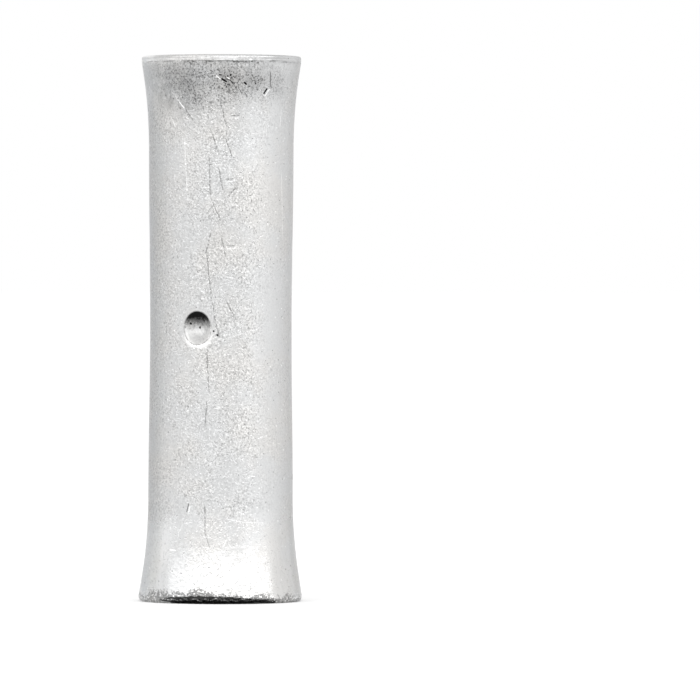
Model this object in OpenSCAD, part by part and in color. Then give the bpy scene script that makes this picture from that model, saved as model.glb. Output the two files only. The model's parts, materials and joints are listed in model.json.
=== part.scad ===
// Butt splice connector: a seamless copper tube, tin plated, with belled ends and a pressed wire stop.
// Millimetres. +Z runs along the tube from the lower mouth to the upper one, and the stop faces -Y.

/* [Tube] */
// Overall length, mouth to mouth
length = 35; // [28:0.5:60]
// Bore that takes the stranded conductor
bore_d = 7; // [6:0.1:12]
// Wall of the tube
wall = 1.15; // [0.9:0.05:1.8]

/* [Flares] */
// Angle of each bell mouth to the tube's axis
flare_angle = 9; // [6:0.5:12]
// Outside bend radius from the barrel into the bell
flare_r = 32; // [20:1:40]
// Straight cone at the upper mouth
upper_cone = 0.9; // [0.6:0.1:2.5]
// Straight cone at the lower mouth
lower_cone = 1.7; // [0.6:0.1:2.5]

/* [Lips] */
// Tumbled round on the outside of each lip
lip_out_r = 0.25; // [0.2:0.05:0.4]
// Tumbled round on the inside of each lip
lip_in_r = 0.25; // [0.15:0.05:0.35]

/* [Waist] */
// How far the outside draws in at mid-length, on the radius
waist = 0.1; // [0.05:0.01:0.2]
// How far the unsized middle of the bore stands in, on the radius
neck = 0.05; // [0.03:0.01:0.1]
// Length of that unsized middle, between the two sized bores
neck_l = 6; // [5:0.5:10]

/* [Wire stop] */
// Width of the pressed stop at the outside
stop_d = 2.04; // [1.6:0.02:2.4]
// Depth of the stop below the outside
stop_depth = 0.6; // [0.5:0.05:0.9]
// Nose radius of the punch
nose_r = 0.8; // [0.5:0.05:0.8]
// Round at the rim of the stop
rim_r = 0.2; // [0.1:0.05:0.3]
// Wall left under the punch
stop_wall = 0.95; // [0.7:0.05:1]

/* [Hidden] */

$fn = 96;
// Steps in the arcs of the section
bend_steps = 12;
lip_steps = 8;
waist_steps = 8;

mid = length / 2;
bore_r = bore_d / 2;
barrel_r = bore_r + wall;
waist_r = barrel_r - waist;

// Axial length and rise of the bend, then the heights where the bends start on the barrel
bend_l = flare_r * sin(flare_angle);
bend_rise = flare_r * (1 - cos(flare_angle));
lower_root = lower_cone + bend_l;
upper_root = length - upper_cone - bend_l;

// Outside and inside radii that each cone would reach at its end plane, before the lips are rounded
inward = wall / cos(flare_angle);
lower_mouth = barrel_r + bend_rise + lower_cone * tan(flare_angle);
upper_mouth = barrel_r + bend_rise + upper_cone * tan(flare_angle);

// Centre of the punch's nose, measured from the axis
nose_y = waist_r - stop_depth + nose_r;
// Direction in which the punch's cone leaves its nose, from the line between nose centre and rim
rim_y = stop_depth - nose_r;
rim_x = stop_d / 2;
rim_far = sqrt(rim_x * rim_x + rim_y * rim_y);
cone_dir = atan2(rim_y, rim_x) - acos(nose_r / rim_far);
// The cone's slope against the tube's surface, and the start of the rim's round on the cone
cone_slope = 90 + cone_dir;
rim_back = rim_r * tan(cone_slope / 2);
// The round stops short of level, so that it crosses the surface and doesn't graze it
rim_level = 15;

// Points along an arc about c, from angle a0 to a1
function arc(c, r, a0, a1, steps) = [
    for (i = [0 : steps])
        let (a = a0 + (a1 - a0) * i / steps)
        [c[0] + r * cos(a), c[1] + r * sin(a)]
];

// Half a wave from radius r0 at height z0 to radius r1 at height z1, level at both ends
function ease(r0, z0, r1, z1, steps) = [
    for (i = [1 : steps - 1])
        let (t = i / steps)
        [r0 + (r1 - r0) * (1 - cos(180 * t)) / 2, z0 + (z1 - z0) * t]
];

// The same list seen from the other end of the tube
function from_top(points) = [for (p = points) [p[0], length - p[1]]];

// The list in the other direction
function back(points) = [for (i = [len(points) - 1 : -1 : 0]) points[i]];

// Outside of one end, up from its lip to where the barrel starts
function outer_end(mouth, root) = concat(
    arc([mouth - lip_out_r * (1 + sin(flare_angle)) / cos(flare_angle), lip_out_r],
        lip_out_r, -90, flare_angle, lip_steps),
    arc([barrel_r + flare_r, root], flare_r, 180 + flare_angle, 180, bend_steps)
);

// Inside of one end, up from its lip to where the sized bore starts
function inner_end(mouth, root) = concat(
    arc([mouth - inward + lip_in_r * (1 - sin(flare_angle)) / cos(flare_angle), lip_in_r],
        lip_in_r, -90, -180 + flare_angle, lip_steps),
    arc([barrel_r + flare_r, root], flare_r + wall, 180 + flare_angle, 180, bend_steps)
);

// Outside of the barrel, drawn in at mid-length
outer_barrel = concat(
    ease(barrel_r, lower_root, waist_r, mid, waist_steps),
    [[waist_r, mid]],
    ease(waist_r, mid, barrel_r, upper_root, waist_steps)
);

// Inside of the barrel: two sized bores with the unsized middle between them
inner_barrel = concat(
    [[bore_r, mid - neck_l / 2]],
    ease(bore_r, mid - neck_l / 2, bore_r - neck, mid, waist_steps),
    [[bore_r - neck, mid]],
    ease(bore_r - neck, mid, bore_r, mid + neck_l / 2, waist_steps),
    [[bore_r, mid + neck_l / 2]]
);

section = concat(
    outer_end(lower_mouth, lower_root),
    outer_barrel,
    back(from_top(outer_end(upper_mouth, length - upper_root))),
    from_top(inner_end(upper_mouth, length - upper_root)),
    back(inner_barrel),
    back(inner_end(lower_mouth, lower_root))
);

// Outline of the punch from its tip out: nose, cone, rim round and shank
punch_outline = concat(
    [[0, 0]],
    [for (i = [1 : lip_steps])
        let (a = -90 + cone_slope * i / lip_steps)
        [nose_r * cos(a), nose_r + nose_r * sin(a)]],
    arc([rim_x + rim_back, stop_depth - rim_r],
        rim_r, 90 + cone_slope, 90 + rim_level, lip_steps),
    [[rim_x + rim_back, stop_depth + 0.2],
     [rim_x + rim_back, stop_depth + 1],
     [0, stop_depth + 1]]
);

// Turns what points along +Z so that it points along -Y at mid-length, y from the axis
module on_front(y) {
    translate([0, -y, mid])
        rotate([90, 0, 0])
            children();
}

module stop_punch() {
    on_front(waist_r - stop_depth)
        rotate_extrude()
            polygon(punch_outline);
}

// The wall that the punch has pushed into the bore
module stop_bump() {
    intersection() {
        on_front(nose_y)
            sphere(r = nose_r + stop_wall);
        translate([0, 0, mid - neck_l / 2])
            cylinder(r = bore_r + wall / 3, h = neck_l);
    }
}

// One seamless tube: belled ends, rounded lips, drawn-in waist and pressed stop
module splice_tube() {
    color([0.72, 0.715, 0.7])
        difference() {
            union() {
                rotate_extrude()
                    polygon(section);
                stop_bump();
            }
            stop_punch();
        }
}

splice_tube();
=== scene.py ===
import json
import math

import bmesh
import bpy
from mathutils import Matrix, Vector, noise


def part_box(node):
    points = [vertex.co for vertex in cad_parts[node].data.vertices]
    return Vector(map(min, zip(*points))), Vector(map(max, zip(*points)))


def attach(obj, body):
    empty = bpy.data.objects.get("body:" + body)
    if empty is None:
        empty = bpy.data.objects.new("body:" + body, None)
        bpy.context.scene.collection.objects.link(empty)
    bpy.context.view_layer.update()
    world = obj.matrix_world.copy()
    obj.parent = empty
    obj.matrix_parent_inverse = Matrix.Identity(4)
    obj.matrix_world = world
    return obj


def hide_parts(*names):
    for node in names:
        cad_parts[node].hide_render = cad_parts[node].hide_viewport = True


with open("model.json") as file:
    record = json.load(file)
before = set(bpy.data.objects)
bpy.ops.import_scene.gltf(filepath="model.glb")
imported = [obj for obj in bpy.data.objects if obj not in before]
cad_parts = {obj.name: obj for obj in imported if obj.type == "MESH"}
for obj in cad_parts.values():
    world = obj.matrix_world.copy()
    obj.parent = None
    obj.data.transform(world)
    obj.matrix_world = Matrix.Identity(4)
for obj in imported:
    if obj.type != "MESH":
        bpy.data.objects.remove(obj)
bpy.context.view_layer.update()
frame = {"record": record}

# Splice tube: one length of seamless copper tube, belled at both ends on a tapered punch and pressed at
# mid-length to make the wire stop. It is tumbled, which rounds its lips and scuffs it all over, and then
# plated with tin.
mm = 0.001
low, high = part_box("splice_tube")
length = high[2] - low[2]
middle = length / 2
mounts = {mount["name"]: mount for mount in frame["record"]["mounts"]}
bore_r = mounts["upper_bore"]["dims"]["r_mm"] * mm
wall = 1.15 * mm
barrel_r = bore_r + wall
waist = 0.1 * mm
neck = 0.05 * mm
neck_half = 3 * mm

bell = math.radians(9)
bend_r = 32 * mm
upper_cone = 0.9 * mm
lower_cone = 1.7 * mm
lip_out = 0.25 * mm
lip_in = 0.25 * mm
lip_stretch = 1.4
lower_root = lower_cone + bend_r * math.sin(bell)
upper_root = length - upper_cone - bend_r * math.sin(bell)
bend_rise = bend_r * (1 - math.cos(bell))
# The lower mouth is a hair smaller than the solid's, so that its lip stays within it
within = 0.005 * mm
lower_mouth = barrel_r + bend_rise + lower_cone * math.tan(bell) - within
upper_mouth = barrel_r + bend_rise + upper_cone * math.tan(bell)

# Centres of the rounds of the lips, outside and inside
out_back = lip_out * (1 + math.sin(bell)) / math.cos(bell)
in_back = (wall - lip_in * (1 - math.sin(bell))) / math.cos(bell)
lower_out = Vector((lower_mouth - out_back, 0, lip_out))
lower_in = Vector((lower_mouth - in_back, 0, lip_in))
upper_in = Vector((upper_mouth - in_back, 0, length - lip_in))
lower_bend = Vector((barrel_r + bend_r, 0, lower_root))
upper_bend = Vector((barrel_r + bend_r, 0, upper_root))
lower_foot = 0.04 * mm + lip_out * (1 + math.sin(bell)) * lip_stretch

# The upper lip is rolled down over the bell in a fold, leans in above it and is rounded at its crown
fold_down = 0.42 * mm
fold_step = 0.045 * mm
lip_lean = math.radians(8)
crown_r = 0.13 * mm
fold_way = math.radians(18)
fold_reach = math.radians(75)
fold_foot = Vector((upper_mouth - fold_down * math.tan(bell), 0, length - fold_down))
fold_edge = fold_foot + Vector((fold_step, 0, 0))
crown_rise = fold_down - crown_r + crown_r * math.sin(lip_lean)
crown_start = fold_edge + Vector((-crown_rise * math.tan(lip_lean), 0, crown_rise))
crown_middle = Vector((crown_start.x - crown_r * math.cos(lip_lean), 0, length - crown_r))
down_bell = Vector((-math.cos(bell), 0, -math.sin(bell)))
up_bell = Vector((-math.cos(bell), 0, math.sin(bell)))


def draw_run(bm, pen, to, parts):
    """A straight run of the section from the pen to a point, in equal parts."""
    step = (to - pen.co) / parts
    for _ in range(parts):
        pen = bmesh.ops.extrude_vert_indiv(bm, verts=[pen])["verts"][0]
        bmesh.ops.translate(bm, verts=[pen], vec=step)
    return pen


def draw_bend(bm, pen, centre, angle, parts):
    """A round of the section about a centre, in equal parts."""
    made = bmesh.ops.spin(bm, geom=[pen], cent=centre, axis=(0, 1, 0), angle=angle, steps=parts)
    return next(g for g in made["geom_last"] if isinstance(g, bmesh.types.BMVert))


# The section, once round the wall: lower lip, outside going up, upper lip, inside going down
stop_band = 2 * mm
merge = 0.001 * mm
tube = bmesh.new()
pen = tube.verts.new((lower_in.x, 0, 0))
pen = draw_run(tube, pen, Vector((lower_out.x, 0, 0)), 4)
pen = draw_bend(tube, pen, lower_out, -math.pi / 2 - bell, 8)
rolled = [vert for vert in tube.verts if vert.co.z > 0]
bmesh.ops.scale(tube, verts=rolled, vec=(1, 1, lip_stretch))
pen = draw_run(tube, pen, Vector((lower_mouth - lower_foot * math.tan(bell), 0, lower_foot)), 1)
pen = draw_run(tube, pen, lower_bend + down_bell * bend_r, 18)
pen = draw_bend(tube, pen, lower_bend, bell, 26)
pen = draw_run(tube, pen, Vector((barrel_r, 0, middle - stop_band)), 24)
pen = draw_run(tube, pen, Vector((barrel_r, 0, middle + stop_band)), 44)
pen = draw_run(tube, pen, Vector((barrel_r, 0, upper_root)), 24)
pen = draw_bend(tube, pen, upper_bend, bell, 32)
pen = draw_run(tube, pen, fold_foot, 8)
pen = draw_run(tube, pen, fold_edge, 1)
pen = draw_run(tube, pen, crown_start, 4)
pen = draw_bend(tube, pen, crown_middle, -math.pi / 2 + lip_lean, 6)
pen = draw_run(tube, pen, Vector((upper_in.x, 0, length)), 4)
pen = draw_bend(tube, pen, upper_in, -math.pi / 2 + bell, 6)
pen = draw_run(tube, pen, upper_bend + up_bell * (bend_r + wall), 2)
pen = draw_bend(tube, pen, upper_bend, -bell, 8)
pen = draw_run(tube, pen, Vector((bore_r, 0, middle + neck_half)), 8)
pen = draw_run(tube, pen, Vector((bore_r, 0, middle - neck_half)), 26)
pen = draw_run(tube, pen, Vector((bore_r, 0, lower_root)), 8)
pen = draw_bend(tube, pen, lower_bend, -bell, 8)
pen = draw_run(tube, pen, lower_in - Vector((math.cos(bell), 0, math.sin(bell))) * lip_in, 4)
pen = draw_bend(tube, pen, lower_in, -math.pi / 2 + bell, 6)
bmesh.ops.remove_doubles(tube, verts=tube.verts, dist=merge)

# The section turned about the axis
bmesh.ops.spin(
    tube, geom=tube.verts[:] + tube.edges[:], cent=(0, 0, 0), axis=(0, 0, 1),
    angle=2 * math.pi, steps=296, use_merge=True)
bmesh.ops.remove_doubles(tube, verts=tube.verts, dist=merge)
bmesh.ops.recalc_face_normals(tube, faces=tube.faces)

# More faces where the stop is pressed, put back on the barrel's round
finer_far = 1.5 * mm
pressed = []
for edge in tube.edges:
    ends = [math.hypot(vert.co.x, vert.co.z - middle) < finer_far for vert in edge.verts]
    front = [vert.co.y < -bore_r - wall / 2 for vert in edge.verts]
    if all(ends) and all(front):
        pressed.append(edge)
finer = bmesh.ops.subdivide_edges(tube, edges=pressed, cuts=2, use_grid_fill=True)
for part in finer["geom"]:
    if isinstance(part, bmesh.types.BMVert):
        part.co.xy *= barrel_r / math.hypot(part.co.x, part.co.y)
tube.normal_update()

# The stop's punch: a round nose that runs out into a cone
stop_depth = 0.6 * mm
stop_r = 1.02 * mm
nose_r = 0.8 * mm
stop_wall = 0.95 * mm
stop_narrow = 0.93
stop_tall = 1.06
stop_high = 0.04 * mm
rim_soft = 0.06 * mm
root_soft = 0.3 * mm
pull_in = 0.032 * mm
pull_far = 1.27 * mm
dip = 0.012 * mm
dip_far = 2.6 * mm
rim_y = stop_depth - nose_r
cone_way = math.atan2(rim_y, stop_r) - math.acos(nose_r / math.hypot(stop_r, rim_y))
nose_edge = nose_r * math.cos(cone_way)
nose_rise = nose_r + nose_r * math.sin(cone_way)
cone_rise = math.tan(math.pi / 2 + cone_way)
waist_r = barrel_r - waist


def soft_max(a, b, k):
    """The larger of two values, rounded over where they meet."""
    near = max(k - abs(a - b), 0) / k
    return max(a, b) + near * near * k / 4


def wave(far):
    """1 at 0, falling level to level to 0 at 1."""
    return (1 + math.cos(math.pi * min(abs(far), 1))) / 2


# Wear, in millimetres: how uneven the outside is, how deep and how far up the lower lip is nicked, how far
# the fold is jagged, and how far the jags and the fold reach up and down
uneven_by = 0.006
uneven_fine = 0.003
nick_depth = 0.04
nick_up = 0.7
jag_by = 0.07
jag_zone = 0.2
fold_zone = 0.3
# How far a normal leans from the axis on the outside, and towards it in the bore
sideways = 0.7

for vert in tube.verts:
    across = math.hypot(vert.co.x, vert.co.y)
    facing = (vert.normal.x * vert.co.x + vert.normal.y * vert.co.y) / across
    up = vert.co.z - middle
    place = vert.co / mm
    inside = facing < -sideways
    # Waist outside, unsized neck inside
    if facing > sideways:
        draw_in = waist * wave(up / ((upper_root if up > 0 else lower_root) - middle))
        vert.co.xy *= (across - draw_in) / across
    elif inside:
        vert.co.xy *= (across - neck * wave(up / neck_half)) / across
    # Pressed stop, which stands into the bore as a bump
    off = math.hypot(vert.co.x / stop_narrow, (up - stop_high) / stop_tall)
    if vert.co.y < 0 and off < dip_far:
        if inside:
            ball = nose_r + stop_wall
            bump = -(waist_r - stop_depth + nose_r) + math.sqrt(max(ball * ball - off * off, 0))
            vert.co.y = soft_max(vert.co.y, bump, root_soft)
        elif facing > sideways:
            if off < nose_edge:
                rise = nose_r - math.sqrt(nose_r * nose_r - off * off)
            else:
                rise = nose_rise + (off - nose_edge) * cone_rise
            punch = -(waist_r - stop_depth + rise)
            pulled = min(max((pull_far - off) / (pull_far - stop_r), 0), 1)
            pulled = pull_in * pulled * pulled + dip * wave(off / dip_far)
            vert.co.y = soft_max(vert.co.y + pulled, punch, rim_soft)
    # Tumbling leaves the outside faintly uneven and the lower lip nicked, and rolls the upper lip down
    # over the bell in a ragged fold
    if not inside:
        uneven = uneven_by * noise.noise(place * 0.28) + uneven_fine * noise.noise(place * 0.9)
        nicks = noise.noise(place * 2.2) + 0.7 * noise.noise(place * 4.5)
        ragged = nick_depth * max(0, 1 - place.z / nick_up) * max(nicks, 0)
        vert.co -= vert.normal * mm * (abs(uneven) + ragged)
        off_fold = (fold_foot.z - vert.co.z) / mm
        around_only = Vector((place.x, place.y, 0))
        jag = noise.noise(around_only * 1.3) + 0.8 * noise.noise(around_only * 5)
        lifted = 0.45 + noise.noise(around_only * 0.8) + 0.9 * noise.noise(around_only * 3.1)
        lifted = min(max(lifted, 0), 1)
        # The fold stands proud on the stop's side and is rubbed down elsewhere
        lifted *= wave((math.atan2(place.x, -place.y) - fold_way) / fold_reach)
        if abs(off_fold) < fold_zone:
            if across > fold_foot.x + fold_step / 2 or off_fold < -0.02:
                vert.co.xy *= 1 - (1 - lifted) * fold_step * wave(off_fold / fold_zone) / across
            vert.co.z += jag_by * mm * jag * wave(off_fold / jag_zone)

tube_mesh = bpy.data.meshes.new("splice_tube_finish")
tube.to_mesh(tube_mesh)
tube.free()
tube_mesh.shade_smooth()
splice = bpy.data.objects.new("splice_tube_finish", tube_mesh)
bpy.context.scene.collection.objects.link(splice)

# Tin plate over the tumbled tube: soft grey white with a fine grain. Tumbling leaves short scuffs all over
# and handling leaves hairlines, gouges and pits. The upper bell is smoky and partly painted with shade, the
# stop's upper half and rim are painted shade, and the lower lip is specked and painted with shade along its
# bottom edge. Painted highlights lie along the gouges' edges, in glints and on parts of the bells and upper
# lip.
tin = bpy.data.materials.new("tin_plate")
tin.use_nodes = True
tin_tree = tin.node_tree
shader = tin_tree.nodes["Principled BSDF"]
shader.inputs["Metallic"].default_value = 1.0


def put(tree, kind, settings, values):
    """A node with its settings and its plain input values."""
    made = tree.nodes.new(kind)
    for name, value in settings.items():
        setattr(made, name, value)
    for name, value in values.items():
        made.inputs[name].default_value = value
    return made


def work(tree, operation, *terms):
    """The result of a Math node on sockets or plain numbers."""
    made = tree.nodes.new("ShaderNodeMath")
    made.operation = operation
    for slot, term in enumerate(terms):
        if isinstance(term, (int, float)):
            made.inputs[slot].default_value = term
        else:
            tree.links.new(term, made.inputs[slot])
    return made.outputs[0]


def ramp(tree, value, start, end):
    """From 0 at start to 1 at end, which may be the lower value, smooth between."""
    made = put(tree, "ShaderNodeMapRange", {"interpolation_type": "SMOOTHSTEP"}, {})
    for name, term in {"Value": value, "From Min": start, "From Max": end}.items():
        if isinstance(term, (int, float)):
            made.inputs[name].default_value = term
        else:
            tree.links.new(term, made.inputs[name])
    return made.outputs["Result"]


def cloud(tree, vector, scale, detail, rough):
    """Noise with so many features to the millimetre."""
    made = put(tree, "ShaderNodeTexNoise", {}, {"Scale": scale, "Detail": detail, "Roughness": rough})
    tree.links.new(vector, made.inputs["Vector"])
    return made.outputs["Fac"]


def part_along(tree, vector, way):
    """How far a vector reaches along a way, which is a socket or plain numbers."""
    made = put(tree, "ShaderNodeVectorMath", {"operation": "DOT_PRODUCT"}, {})
    tree.links.new(vector, made.inputs[0])
    if isinstance(way, tuple):
        made.inputs[1].default_value = way
    else:
        tree.links.new(way, made.inputs[1])
    return made.outputs["Value"]


def new_group(name, inputs, output):
    """An empty shader group with its named inputs and one output, and its two end nodes."""
    group = bpy.data.node_groups.new(name, "ShaderNodeTree")
    for label, (kind, value) in inputs.items():
        socket = group.interface.new_socket(label, in_out="INPUT", socket_type=kind)
        socket.default_value = value
    group.interface.new_socket(output, in_out="OUTPUT", socket_type="NodeSocketFloat")
    return group, group.nodes.new("NodeGroupInput"), group.nodes.new("NodeGroupOutput")


# Scuffs: one short bowed mark in each cell of a scatter, turned at random; Keep is the share of cells
full_turn = 6.283
scuffs, scuff_in, scuff_out = new_group("scuffs", {
    "Vector": ("NodeSocketVector", (0, 0, 0)),
    "Spacing": ("NodeSocketFloat", 1.0),
    "Reach": ("NodeSocketFloat", 0.3),
    "Width": ("NodeSocketFloat", 0.05),
    "Keep": ("NodeSocketFloat", 1.0),
    "Bow": ("NodeSocketFloat", 1.0),
    "Shift": ("NodeSocketFloat", 0.0)}, "Mark")
per_cell = work(scuffs, "DIVIDE", 1.0, scuff_in.outputs["Spacing"])
in_cells = put(scuffs, "ShaderNodeVectorMath", {"operation": "SCALE"}, {})
scuffs.links.new(scuff_in.outputs["Vector"], in_cells.inputs[0])
scuffs.links.new(per_cell, in_cells.inputs["Scale"])
moved = put(scuffs, "ShaderNodeVectorMath", {"operation": "ADD"}, {})
scuffs.links.new(in_cells.outputs[0], moved.inputs[0])
scuffs.links.new(scuff_in.outputs["Shift"], moved.inputs[1])
scatter = put(scuffs, "ShaderNodeTexVoronoi", {"voronoi_dimensions": "2D"}, {"Scale": 1.0})
scuffs.links.new(moved.outputs[0], scatter.inputs["Vector"])
from_seed = put(scuffs, "ShaderNodeVectorMath", {"operation": "SUBTRACT"}, {})
scuffs.links.new(moved.outputs[0], from_seed.inputs[0])
scuffs.links.new(scatter.outputs["Position"], from_seed.inputs[1])
chance = put(scuffs, "ShaderNodeSeparateColor", {}, {})
scuffs.links.new(scatter.outputs["Color"], chance.inputs["Color"])
turned = put(scuffs, "ShaderNodeVectorRotate", {"rotation_type": "Z_AXIS"}, {})
scuffs.links.new(from_seed.outputs[0], turned.inputs["Vector"])
scuffs.links.new(work(scuffs, "MULTIPLY", chance.outputs[0], full_turn), turned.inputs["Angle"])
run = part_along(scuffs, turned.outputs[0], (1, 0, 0))
bowed = work(scuffs, "MULTIPLY", work(scuffs, "MULTIPLY", run, run), scuff_in.outputs["Bow"])
bowed = work(scuffs, "MULTIPLY", bowed, work(scuffs, "SUBTRACT", chance.outputs[1], 0.5))
aside = work(scuffs, "ADD", part_along(scuffs, turned.outputs[0], (0, 1, 0)), bowed)
aside = work(scuffs, "ABSOLUTE", aside)
in_width = ramp(scuffs, aside, scuff_in.outputs["Width"], 0.0)
in_reach = ramp(scuffs, work(scuffs, "ABSOLUTE", run), scuff_in.outputs["Reach"],
                work(scuffs, "MULTIPLY", scuff_in.outputs["Reach"], 0.5))
kept = work(scuffs, "LESS_THAN", chance.outputs[2], scuff_in.outputs["Keep"])
scuffs.links.new(work(scuffs, "MULTIPLY", work(scuffs, "MULTIPLY", in_width, in_reach), kept),
                 scuff_out.inputs["Mark"])

# Hairline: one scratch, from its middle, the way it runs and the way across, half its length and its width
hairline, hair_in, hair_out = new_group("hairline", {
    "Vector": ("NodeSocketVector", (0, 0, 0)),
    "Middle": ("NodeSocketVector", (0, 0, 0)),
    "Run": ("NodeSocketVector", (0, 1, 0)),
    "Across": ("NodeSocketVector", (1, 0, 0)),
    "Half": ("NodeSocketFloat", 1.0),
    "Width": ("NodeSocketFloat", 0.05)}, "Mark")
from_middle = put(hairline, "ShaderNodeVectorMath", {"operation": "SUBTRACT"}, {})
hairline.links.new(hair_in.outputs["Vector"], from_middle.inputs[0])
hairline.links.new(hair_in.outputs["Middle"], from_middle.inputs[1])
hair_off = part_along(hairline, from_middle.outputs[0], hair_in.outputs["Across"])
in_width = ramp(hairline, work(hairline, "ABSOLUTE", hair_off), hair_in.outputs["Width"], 0.0)
hair_far = part_along(hairline, from_middle.outputs[0], hair_in.outputs["Run"])
in_half = ramp(hairline, work(hairline, "ABSOLUTE", hair_far), hair_in.outputs["Half"],
               work(hairline, "MULTIPLY", hair_in.outputs["Half"], 0.75))
hairline.links.new(work(hairline, "MULTIPLY", in_width, in_half), hair_out.inputs["Mark"])


def chain(operation, terms):
    """Math nodes of one kind on the tin, one after another over the terms."""
    joined = terms[0]
    for term in terms[1:]:
        joined = work(tin_tree, operation, joined, term)
    return joined


def times(*terms):
    """The product of sockets and plain numbers on the tin."""
    return chain("MULTIPLY", terms)


def plus(*terms):
    """Their sum."""
    return chain("ADD", terms)


def most(*terms):
    """The largest of them."""
    return chain("MAXIMUM", terms)


def less(value, taken):
    """One less another."""
    return work(tin_tree, "SUBTRACT", value, taken)


def times_plus(value, factor, added):
    """A value times a factor, and more added."""
    return work(tin_tree, "MULTIPLY_ADD", value, factor, added)


def size_of(value):
    """A value without its sign."""
    return work(tin_tree, "ABSOLUTE", value)


def fade(value, start, end):
    """From 0 at start to 1 at end on the tin."""
    return ramp(tin_tree, value, start, end)


def mottle(scale, detail, rough):
    """Noise through the tin, with so many features to the millimetre."""
    return cloud(tin_tree, at, scale, detail, rough)


def vector_of(operation, vector, other):
    """A Vector Math node on the tin, from a socket and plain numbers."""
    made = put(tin_tree, "ShaderNodeVectorMath", {"operation": operation}, {})
    tin_tree.links.new(vector, made.inputs[0])
    made.inputs[1].default_value = other
    return made


# Places on the tube in millimetres: in space, and unrolled as the way round from the stop and the height
unroll_r = barrel_r / mm
half_up = middle / mm
coordinates = put(tin_tree, "ShaderNodeTexCoord", {}, {})
millimetres = put(tin_tree, "ShaderNodeVectorMath", {"operation": "SCALE"}, {"Scale": 1000})
tin_tree.links.new(coordinates.outputs["Object"], millimetres.inputs[0])
at = millimetres.outputs[0]
axes = put(tin_tree, "ShaderNodeSeparateXYZ", {}, {})
tin_tree.links.new(at, axes.inputs[0])
turn = work(tin_tree, "ARCTAN2", axes.outputs["X"], times(axes.outputs["Y"], -1))
around = times(turn, unroll_r)
along = axes.outputs["Z"]
unrolled = put(tin_tree, "ShaderNodeCombineXYZ", {}, {})
tin_tree.links.new(around, unrolled.inputs["X"])
tin_tree.links.new(along, unrolled.inputs["Y"])
flat = unrolled.outputs[0]
drift = less(cloud(tin_tree, flat, 1.3, 5, 0.65), 0.5)
wandering = put(tin_tree, "ShaderNodeCombineXYZ", {}, {})
tin_tree.links.new(times_plus(drift, 0.3, around), wandering.inputs["X"])
tin_tree.links.new(along, wandering.inputs["Y"])

# The outer skin, by its distance from the axis: the bells' bores reach further out than the stop's floor
skin_at_stop = 3.7
skin_at_ends = 0.65
level = vector_of("MULTIPLY", at, (1, 1, 0))
from_axis = vector_of("LENGTH", level.outputs[0], (0, 0, 0))
to_ends = fade(size_of(less(along, half_up)), 3, 8)
skin = times_plus(to_ends, skin_at_ends, skin_at_stop)
outside = fade(less(from_axis.outputs["Value"], skin), 0.0, 0.1)

# The marks that are laid out on the unrolled side stop short of the end faces and the bore
on_side = times(fade(along, 34.97, 34.9), fade(along, 0.02, 0.08), outside)
broken = times(fade(cloud(tin_tree, flat, 6, 3, 0.6), 0.33, 0.55), on_side)


def side_of(way_deg, start, end):
    """0 to 1 by the cosine of the angle from a way round the tube, so that it closes at the back."""
    off_way = less(turn, math.radians(way_deg))
    return fade(work(tin_tree, "COSINE", off_way), start, end)


def scuff(spacing, reach, width, keep, bow, shift):
    """The marks of one scatter of scuffs; reach and width in spacings."""
    made = put(tin_tree, "ShaderNodeGroup", {"node_tree": scuffs}, {
        "Spacing": spacing, "Reach": reach, "Width": width, "Keep": keep, "Bow": bow, "Shift": shift})
    tin_tree.links.new(flat, made.inputs["Vector"])
    return times(made.outputs["Mark"], on_side)


def scratches(marks, width, vector, gaps):
    """Hairlines at (way round, height, lean in degrees, half length), joined, with gaps in them."""
    drawn = []
    for way, up, lean, half in marks:
        sine = math.sin(math.radians(lean))
        cosine = math.cos(math.radians(lean))
        made = put(tin_tree, "ShaderNodeGroup", {"node_tree": hairline}, {
            "Middle": (way, up, 0), "Run": (sine, cosine, 0), "Across": (cosine, -sine, 0),
            "Half": half, "Width": width})
        tin_tree.links.new(vector, made.inputs["Vector"])
        drawn.append(made.outputs["Mark"])
    return times(most(*drawn), gaps)


curls = scuff(0.34, 0.42, 0.1, 0.8, 2.5, 3.7)
small_curls = scuff(0.2, 0.4, 0.14, 0.7, 2.0, 11.3)
dashes = scuff(1.5, 0.2, 0.03, 0.55, 0.8, 27.1)
long_scuffs = scuff(5.0, 0.3, 0.009, 0.6, 0.5, 41.9)
pits = scuff(0.5, 0.11, 0.1, 0.16, 0.0, 60.3)
glints = scuff(0.8, 0.09, 0.07, 0.25, 0.0, 75.1)

line_width = 0.072
thin_width = 0.06
gouge_width = 0.095
dark_lines = scratches([
    (1.65, 31.3, -12, 0.9), (1.1, 29.5, -18, 0.9), (0.8, 27.2, -2, 1.35), (1.5, 27.1, -11, 0.9),
    (1.2, 25.1, -24, 0.85), (2.05, 29.0, -17, 0.7), (0.75, 23.1, 12, 1.0), (0.75, 21.0, -6, 1.5),
    (1.0, 19.0, -12, 0.95), (1.3, 17.6, -13, 0.7), (1.7, 22.75, -13, 0.7), (0.7, 14.8, -3, 1.5),
    (0.55, 5.5, -1, 0.85), (0.7, 4.15, -14, 0.75), (2.2, 18.7, -31, 0.8), (-0.5, 31.1, -35, 0.6),
    (0.6, 12.1, 4, 0.9), (2.3, 26.3, 40, 0.5), (-5.4, 21.0, 8, 1.6), (9.6, 14.0, -7, 1.9),
    (-9.0, 26.0, 14, 1.2), (12.4, 23.5, 5, 1.5), (-12.8, 10.5, -9, 1.4), (2.42, 31.1, 86, 0.3),
    (2.1, 27.05, 86, 0.3), (2.2, 22.8, 87, 0.3), (3.0, 32.5, -40, 0.35), (13.0, 16.0, 25, 0.35)],
    line_width, wandering.outputs[0], broken)
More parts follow.
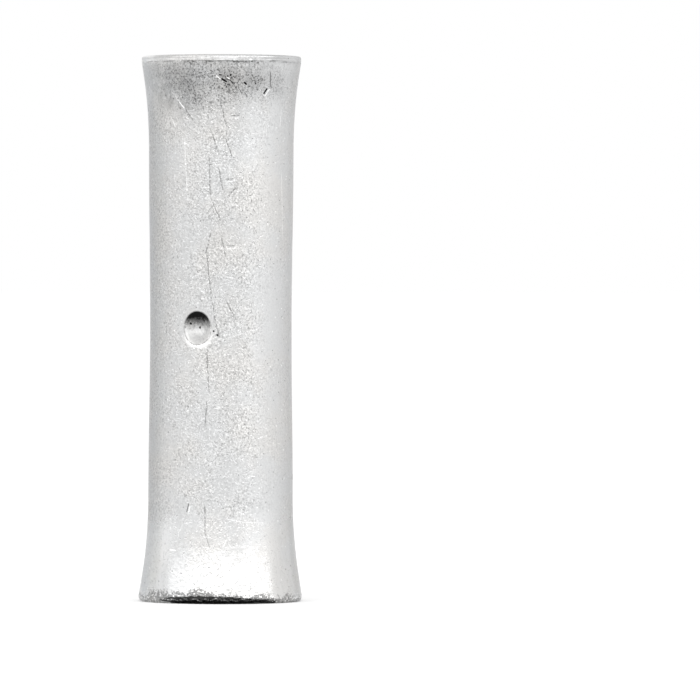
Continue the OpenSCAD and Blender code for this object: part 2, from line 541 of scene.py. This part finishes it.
pale_lines = scratches([
    (-1.3, 32.1, -40, 0.93), (-0.8, 27.7, -3, 2.2), (2.35, 30.95, 86, 0.35), (2.05, 26.9, 86, 0.33),
    (6.2, 25.5, -3, 2.2), (5.9, 31.0, 4, 0.6), (-7.5, 12.5, 21, 1.1), (10.8, 30.6, 33, 0.8),
    (-11.2, 19.0, -28, 1.0), (2.2, 22.65, 87, 0.33)],
    thin_width, flat, broken)
# Painted highlights: pale strokes along the edges of the gouges
gouge_highlights = scratches([
    (1.36, 33.52, -50, 0.2), (4.56, 32.6, 35, 0.3), (-0.52, 5.95, 15, 0.3), (-1.7, 30.6, -30, 0.25),
    (1.95, 33.48, -58, 0.12), (-1.05, 31.77, -40, 0.3)],
    thin_width, flat, on_side)
# Gouges, darkened in the colour partly as marks and partly as painted shade in their grooves
gouges = scratches([
    (1.72, 33.33, -58, 0.19), (4.42, 32.68, 35, 0.24), (3.02, 33.15, -45, 0.13), (8.3, 8.0, 40, 0.25),
    (-8.0, 31.9, -52, 0.22), (-0.6, 17.85, 0, 0.07), (-0.05, 17.6, 20, 0.08),
    (1.07, 17.37, 0, 0.06), (1.32, 17.12, -45, 0.08)],
    gouge_width, flat, on_side)
thin_gouges = scratches([
    (2.1, 33.3, -58, 0.36), (4.72, 33.45, -6, 0.5), (-0.62, 6.1, 15, 0.34)],
    thin_width, flat, on_side)

# Smoke on the upper bell, partly a real smudge and partly painted shade where the bell faces down, thickest
# on the stop's side, in a drifting band with ragged puffs in it, each at (way round, height, reach,
# thickness)
band = times_plus(fade(along, 34.4, 33.7), 0.3, 0.7)
left_side = times(fade(around, 2.2, -0.5), fade(around, -3.4, -1.6))
low_edge = times_plus(left_side, 0.7, along)
band = times(band, fade(low_edge, 31.1, 33.1), fade(along, 34.75, 34.5), outside)
toward = times_plus(side_of(9, 0.35, 0.95), 0.82, 0.18)
drifts = fade(mottle(0.7, 6, 0.7), 0.3, 0.55)
smoke_and_shade = times(band, toward, drifts, 0.75)
puff_edge = times_plus(mottle(1.6, 5, 0.7), 1.6, -0.8)
puffs = [
    (1.9, 33.35, 1.5, 1.0), (3.5, 33.3, 1.4, 0.95), (-1.8, 33.2, 1.4, 0.7), (5.1, 33.1, 1.7, 0.52),
    (-0.6, 33.15, 1.9, 0.88)]
for way, up, reach, thick in puffs:
    from_puff = vector_of("DISTANCE", flat, (way, up, 0))
    puff = fade(plus(from_puff.outputs["Value"], puff_edge), reach, 0.2)
    smoke_and_shade = most(smoke_and_shade, times(puff, band, thick))

# The pressed stop: a matt floor, painted shade on its upper half and a thin line of painted shade round its
# rim
stop_left = 0.05
stop_up = 17.57
oval = put(tin_tree, "ShaderNodeMapping", {}, {
    "Scale": (1 / stop_narrow, 1 / stop_tall, 1), "Location": (stop_left, -stop_up / stop_tall, 0)})
tin_tree.links.new(flat, oval.inputs["Vector"])
from_stop = vector_of("LENGTH", oval.outputs[0], (0, 0, 0)).outputs["Value"]
in_stop = times(fade(from_stop, 1.06, 0.97), outside)
rough_edge = times_plus(mottle(5, 5, 0.75), 1.1, -0.55)
# Painted shade: darker towards the top of the stop, with a ragged edge
painted_stop_shade = times(fade(plus(along, rough_edge), 17.35, 18.3), in_stop)
# Painted shade: a thin broken dark line along the stop's rim
painted_rim_shade = size_of(less(from_stop, 1.02))
painted_rim_shade = times(fade(painted_rim_shade, 0.06, 0.0), broken)

# The ragged fold under the upper lip, darkened in the colour as painted shade in its crease, most on the
# stop's side
fold_up = 34.54
wobble = times_plus(mottle(2.2, 4, 0.75), 0.4, -0.2)
from_fold = size_of(plus(less(along, fold_up), wobble))
fold = times(fade(from_fold, 0.09, 0.03), broken)
fold = times(fold, fade(mottle(1.1, 3, 0.6), 0.38, 0.56))
fold = times(fold, times_plus(side_of(18, 0.85, 0.95), 0.8, 0.2))

# Dark specks on the lower lip, denser towards its bottom edge and reaching higher on the stop's side
lip_specks_reach = fade(mottle(0.9, 4, 0.65), 0.38, 0.6)
lip_specks_up = times_plus(side_of(-20, 0.5, 0.9), 0.24, times(lip_specks_reach, 0.38))
near_lip = fade(less(along, lip_specks_up), 0.7, -0.05)
lip_specks = plus(mottle(7, 4, 0.75), times(near_lip, 0.165))
lip_specks = times(fade(lip_specks, 0.6, 0.67), near_lip)

# Painted shade along the lower lip's bottom edge, reaching highest near the stop's side and broken along a
# wavy line
lip_shade_way = 1.0
lip_shade_half = 4.5
off_lip_shade = work(tin_tree, "DIVIDE", less(around, lip_shade_way), lip_shade_half)
ends_up = times(off_lip_shade, off_lip_shade)
lip_shade_up = times_plus(ends_up, -0.45, 0.52)
lip_shade_up = times_plus(off_lip_shade, -0.08, lip_shade_up)
lip_shade_up = plus(lip_shade_up, times_plus(mottle(4, 4, 0.7), 0.3, -0.15))
painted_lip_shade = fade(less(lip_shade_up, along), -0.03, 0.05)
above_edge = times_plus(ends_up, -0.4, along)
painted_lip_shade = times(painted_lip_shade, fade(above_edge, -0.1, -0.02))
lip_shade_gap = times_plus(mottle(2.5, 3, 0.6), 0.5, 0.02)
lip_shade_gap = size_of(less(lip_shade_gap, along))
lip_shade_gap = times(fade(lip_shade_gap, 0.065, 0.03), broken)
painted_lip_shade = times(painted_lip_shade, less(1.0, lip_shade_gap))

# Fine turning lines round the upper lip, with grey streaks along them, and painted shade that greys the lip
# on the stop's side, most at its crown and towards the ends of that side
lines_round = put(tin_tree, "ShaderNodeMapping", {}, {"Scale": (0.12, 8, 1)})
tin_tree.links.new(flat, lines_round.inputs["Vector"])
on_lip = fade(along, 34.5, 34.62)
turned_lip = cloud(tin_tree, lines_round.outputs[0], 1.0, 2, 0.6)
turning = times(turned_lip, on_lip)
lip_lines_and_shade = times_plus(fade(turned_lip, 0.48, 0.62), 0.2, 0.11)
lip_lines_and_shade = times_plus(side_of(20, 0.74, 0.86), -0.05, lip_lines_and_shade)
lip_lines_and_shade = times_plus(fade(along, 34.84, 34.92), 0.08, lip_lines_and_shade)
lip_lines_and_shade = times(lip_lines_and_shade, side_of(18, 0.45, 0.75), on_lip)

# How much the grain shows: in patches, more on the stop's side, less on the right, by the stop and on the lip
patches = times_plus(fade(mottle(0.45, 4, 0.65), 0.36, 0.6), 0.75, 0.4)
by_stop = fade(from_stop, 1.4, 1.15)
for where, more in [
        (side_of(112, 0.3, 0.72), -0.5), (side_of(20, 0.8, 0.95), 0.25), (by_stop, -0.6), (on_lip, -0.5)]:
    patches = times(patches, times_plus(where, more, 1))
low_bell = fade(along, 6.3, 3.9)

# Relief in micrometres: the grain, and then each mark with its height
relief = times(mottle(7, 3, 0.6), 13)
relief = times_plus(curls, -12, relief)
relief = times_plus(small_curls, -8, relief)
relief = times(relief, times(patches, times_plus(low_bell, -0.8, 1)))
for mark, height in [
        (mottle(2.6, 2, 0.5), 8), (dashes, -7), (long_scuffs, -4), (pits, -6), (dark_lines, -6),
        (pale_lines, -6), (gouges, -34), (thin_gouges, -12), (fold, -8), (lip_specks, -26), (turning, 40)]:
    relief = times_plus(mark, height, relief)
bump = put(tin_tree, "ShaderNodeBump", {}, {"Strength": 1.0, "Distance": 0.000001})
tin_tree.links.new(relief, bump.inputs["Height"])
tin_tree.links.new(bump.outputs["Normal"], shader.inputs["Normal"])

# Colour: tin, a little warm where the plate is thin, and speckled by the grain
plate = put(tin_tree, "ShaderNodeMix", {"data_type": "RGBA"}, {})
plate.inputs["A"].default_value = (0.696, 0.7, 0.702, 1)
plate.inputs["B"].default_value = (0.708, 0.7, 0.688, 1)
tin_tree.links.new(fade(mottle(0.22, 3, 0.6), 0.4, 0.65), plate.inputs["Factor"])
speckle = mottle(8, 3, 0.75)
grained = times(patches, times_plus(low_bell, -1.2, 1.5))
light = times(less(speckle, 0.52), grained)
# Painted light: the stop's hollow a little lighter all over
light = plus(light, times_plus(in_stop, 0.06, 1.0))

# Brighter in the pale hairlines, and in painted highlights: along the gouges' edges, in the glints, on the
# left of the lower bell and where its highlight starts, and on the left of the upper lip and the upper bell
highlit = fade(gouge_highlights, 0.15, 0.6)
bell_left_highlight = times(fade(along, 5.9, 4.0), side_of(-100, 0.0, 0.37))
bell_highlight_start = times(fade(along, 6.3, 4.5), fade(along, 1.8, 3.2))
bell_highlight_start = times(bell_highlight_start, side_of(15, 0.55, 0.8))
under_crown = times_plus(fade(along, 34.85, 34.7), 0.75, 0.25)
lip_left_highlight = times(fade(along, 34.3, 34.6), side_of(-45, 0.78, 0.9), under_crown)
upper_bell_left_highlight = times(fade(along, 31, 32.5), side_of(-60, 0.9, 0.97))
for where, more in [
        (pale_lines, 0.34), (most(highlit, glints), 0.42), (bell_left_highlight, 0.25), (bell_highlight_start, 0.13), (lip_left_highlight, 0.26),
        (upper_bell_left_highlight, 0.14)]:
    light = times_plus(where, more, light)

# Darker in the marks and the specks, in painted shade on the upper lip, in the gouges' grooves, in the fold's
# crease, on the stop's upper half and rim and along the lower lip's bottom edge, and then in the smoke with
# its painted shade, which lies between the grains
shade = lip_lines_and_shade
for mark, dark in [
        (pits, 0.65), (dark_lines, 0.62), (fade(gouges, 0.15, 0.55), 0.97), (thin_gouges, 0.8), (fold, 0.6),
        (lip_specks, 0.64), (times(curls, patches), 0.32), (painted_stop_shade, 0.98), (painted_lip_shade, 0.93), (painted_rim_shade, 0.55)]:
    shade = most(shade, times(mark, dark))
specks = fade(speckle, 0.5, 0.36)
soft_side = side_of(-60, 0.36, 0.64)
smoke_and_shade_dark = times(specks, times_plus(soft_side, -0.4, 0.72))
smoke_and_shade_dark = plus(smoke_and_shade_dark, times_plus(soft_side, 0.16, 0.4))
smoke_and_shade_dark = times(smoke_and_shade, smoke_and_shade_dark, less(1.0, highlit))
light = times(light, less(1.0, shade), less(1.0, smoke_and_shade_dark))
toned = put(tin_tree, "ShaderNodeVectorMath", {"operation": "SCALE"}, {})
tin_tree.links.new(plate.outputs["Result"], toned.inputs[0])
tin_tree.links.new(light, toned.inputs["Scale"])
tin_tree.links.new(toned.outputs[0], shader.inputs["Base Color"])

# Gloss: satin, duller in the smoke, the marks and the stop, and polished on the lower bell
dull = times_plus(mottle(1.4, 4, 0.6), 0.1, 0.25)
for where, more in [(smoke_and_shade, 0.08), (shade, 0.12), (in_stop, 0.25), (low_bell, -0.08)]:
    dull = times_plus(where, more, dull)
tin_tree.links.new(dull, shader.inputs["Roughness"])

tube_mesh.materials.append(tin)
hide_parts("splice_tube")
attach(splice, "root")

# Floor: a sheet of matt white paper laid flat under the sleeve, wide enough to run out of sight. It glows
# faintly for what looks at it, so that it runs out into white where the lamps don't reach.
floor_half = 40
paper_glow = 0.12
floor_mesh = bpy.data.meshes.new("floor")
sheet = bmesh.new()
bmesh.ops.create_grid(sheet, x_segments=1, y_segments=1, size=floor_half)
sheet.to_mesh(floor_mesh)
sheet.free()
floor = bpy.data.objects.new("floor", floor_mesh)
bpy.context.scene.collection.objects.link(floor)
paper = bpy.data.materials.new("white_sheet")
paper.use_nodes = True
paper_shader = paper.node_tree.nodes["Principled BSDF"]
paper_shader.inputs["Base Color"].default_value = (0.9, 0.9, 0.9, 1)
paper_shader.inputs["Roughness"].default_value = 1.0
paper_shader.inputs["Specular IOR Level"].default_value = 0.0
paper_tree = paper.node_tree
looks = put(paper_tree, "ShaderNodeLightPath", {}, {})
seen = work(paper_tree, "ADD", looks.outputs["Is Camera Ray"], looks.outputs["Is Glossy Ray"])
seen = work(paper_tree, "ADD", seen, looks.outputs["Is Transmission Ray"])
paper_tree.links.new(work(paper_tree, "MULTIPLY", seen, paper_glow), paper_shader.inputs["Emission Strength"])
paper_shader.inputs["Emission Color"].default_value = (1, 1, 1, 1)
floor_mesh.materials.append(paper)

# Camera: level with the sleeve's upper half, far off with a long lens, the sleeve left of centre. It looks at
# the side with the stop, turned a little to the right of it.
look = math.radians(18)
stand_right = 8.3 * mm
stand_off = 458.9 * mm
stand_up = 20.04 * mm
tip_down = 0.485
roll = -0.14
ahead = Vector((-math.sin(look), math.cos(look), 0))
right = Vector((math.cos(look), math.sin(look), 0))
camera_data = bpy.data.cameras.new("camera")
camera_data.sensor_width = 36
camera_data.lens = 366.9
camera = bpy.data.objects.new("camera", camera_data)
bpy.context.scene.collection.objects.link(camera)
camera.location = right * stand_right - ahead * stand_off + Vector((0, 0, stand_up))
camera.rotation_euler = (math.radians(90 - tip_down), math.radians(roll), look)
bpy.context.scene.camera = camera

# Studio: white surroundings, three low soft boxes on the camera's side, and cards that only the metal sees. A
# dark one and grey ones lie on the table, and grey ones stand before the sleeve and behind it on either hand.
world = bpy.data.worlds.new("studio")
world.use_nodes = True
world.node_tree.nodes["Background"].inputs["Color"].default_value = (1, 1, 1, 1)
world.node_tree.nodes["Background"].inputs["Strength"].default_value = 1.0
bpy.context.scene.world = world


def way_out(turn_deg, lift_deg):
    """Direction from the sleeve: turn to the right of the camera's side, lift above level."""
    side = look + math.radians(turn_deg)
    lift = math.radians(lift_deg)
    return Vector((math.sin(side) * math.cos(lift), -math.cos(side) * math.cos(lift), math.sin(lift)))


lamp_away = 0.8


def soft_box(name, turn_deg, lift_deg, wide, tall, bright):
    """A lamp near the sleeve, facing it, of so many times white."""
    lamp = bpy.data.lights.new(name, "AREA")
    lamp.shape = "RECTANGLE"
    lamp.size = wide
    lamp.size_y = tall
    lamp.energy = bright * math.pi * wide * tall
    placed = bpy.data.objects.new(name, lamp)
    bpy.context.scene.collection.objects.link(placed)
    way = way_out(turn_deg, lift_deg)
    placed.location = way * lamp_away + Vector((0, 0, middle))
    placed.rotation_euler = way.to_track_quat("Z", "Y").to_euler()
    placed.visible_camera = False


soft_box("front_box", 0, 21, 0.76, 0.26, 1.4)
soft_box("left_box", -55, 21, 0.78, 0.26, 1.4)
soft_box("right_box", 55, 21, 0.78, 0.26, 1.5)


def card(name, near, far, start_deg, sweep_deg, shade_of_grey):
    """A card swept about the sleeve from a line between two points, seen in reflections only."""
    mesh = bpy.data.meshes.new(name)
    made = bmesh.new()
    line = made.edges.new([made.verts.new(near), made.verts.new(far)])
    first = look + math.radians(start_deg)
    bmesh.ops.rotate(made, verts=line.verts, cent=(0, 0, 0),
                     matrix=Matrix.Rotation(first - math.pi / 2, 3, "Z"))
    bmesh.ops.spin(made, geom=[*line.verts, line], cent=(0, 0, 0), axis=(0, 0, 1),
                   angle=math.radians(sweep_deg), steps=48)
    made.to_mesh(mesh)
    made.free()
    paint = bpy.data.materials.new(name)
    paint.use_nodes = True
    paint_shader = paint.node_tree.nodes["Principled BSDF"]
    paint_shader.inputs["Base Color"].default_value = (*shade_of_grey, 1)
    paint_shader.inputs["Roughness"].default_value = 1.0
    paint_shader.inputs["Specular IOR Level"].default_value = 0.0
    mesh.materials.append(paint)
    placed = bpy.data.objects.new(name, mesh)
    bpy.context.scene.collection.objects.link(placed)
    placed.visible_camera = False
    placed.visible_diffuse = False
    placed.visible_transmission = False
    placed.visible_shadow = False


table_up = 0.01 * mm
for name, near, far, start_deg, sweep_deg, grey in [
        ("near_table", 5, 7, -37, 82, 0.01), ("far_table", 95, 140, -80, 190, 0.45),
        ("left_table", 40, 160, -165, 55, 0.57), ("right_table", 30, 69, 105, 60, 0.55)]:
    card(name, (near * mm, 0, table_up), (far * mm, 0, table_up), start_deg, sweep_deg, (grey, grey, grey))
for name, away, tall, start_deg, sweep_deg, grey in [
        ("left_flag", 200, 64, -165, 40, (0.54, 0.55, 0.56)),
        ("left_half_flag", 200, 64, -125, 20, (0.62, 0.63, 0.63)),
        ("left_pale_flag", 200, 64, -105, 20, (0.74, 0.74, 0.74)),
        ("front_card", 300, 70, -85, 122, (0.72, 0.72, 0.72)),
        ("right_flag", 70, 200, 132, 43, (0.62, 0.62, 0.62)),
        ("right_half_flag", 70, 200, 114, 18, (0.77, 0.77, 0.77)),
        ("right_pale_flag", 70, 200, 98, 16, (0.85, 0.85, 0.85))]:
    card(name, (away * mm, 0, 0), (away * mm, 0, tall * mm), start_deg, sweep_deg, grey)

bpy.context.scene.view_settings.view_transform = "Standard"
